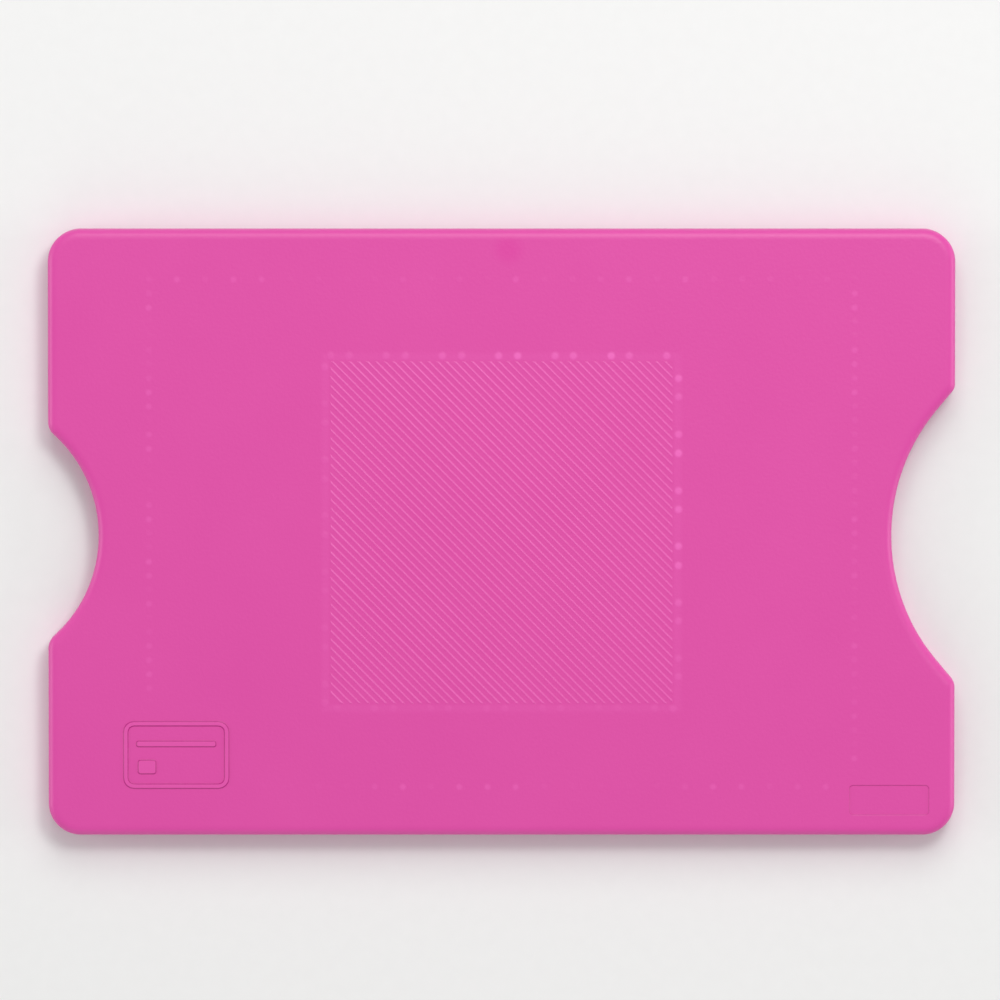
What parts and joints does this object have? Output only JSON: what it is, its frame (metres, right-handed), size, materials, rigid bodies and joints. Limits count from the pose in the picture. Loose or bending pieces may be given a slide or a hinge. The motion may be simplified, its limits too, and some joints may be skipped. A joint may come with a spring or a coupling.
{
  "type": "rigid rfid card sleeve",
  "caption": "Rigid flat sleeve that holds a bank-size card between a moulded tray and its cover, each with a foil shield inside, and with a thumb notch in each end.",
  "frame": {"origin": "middle of the flat back face, on which the sleeve lies", "axes": "+X along the card's travel, towards the open mouth; +Y across the sleeve, towards its top edge as pictured; +Z through the thickness, out of the front face"},
  "size_m": [0.09, 0.0602, 0.004],
  "materials": {
    "moulded_plastic": "fine satin moulded plastic in magenta pink",
    "shield_adhesive": "clear acrylic adhesive film",
    "shield_foil": "rolled aluminium foil",
    "shield_film": "smooth polyester film"
  },
  "bodies": {
    "root": {"back_tray": "moulded_plastic", "back_adhesive": "shield_adhesive", "back_foil": "shield_foil", "back_film": "shield_film", "front_cover": "moulded_plastic", "front_adhesive": "shield_adhesive", "front_foil": "shield_foil", "front_film": "shield_film"}
  },
  "joints": []
}
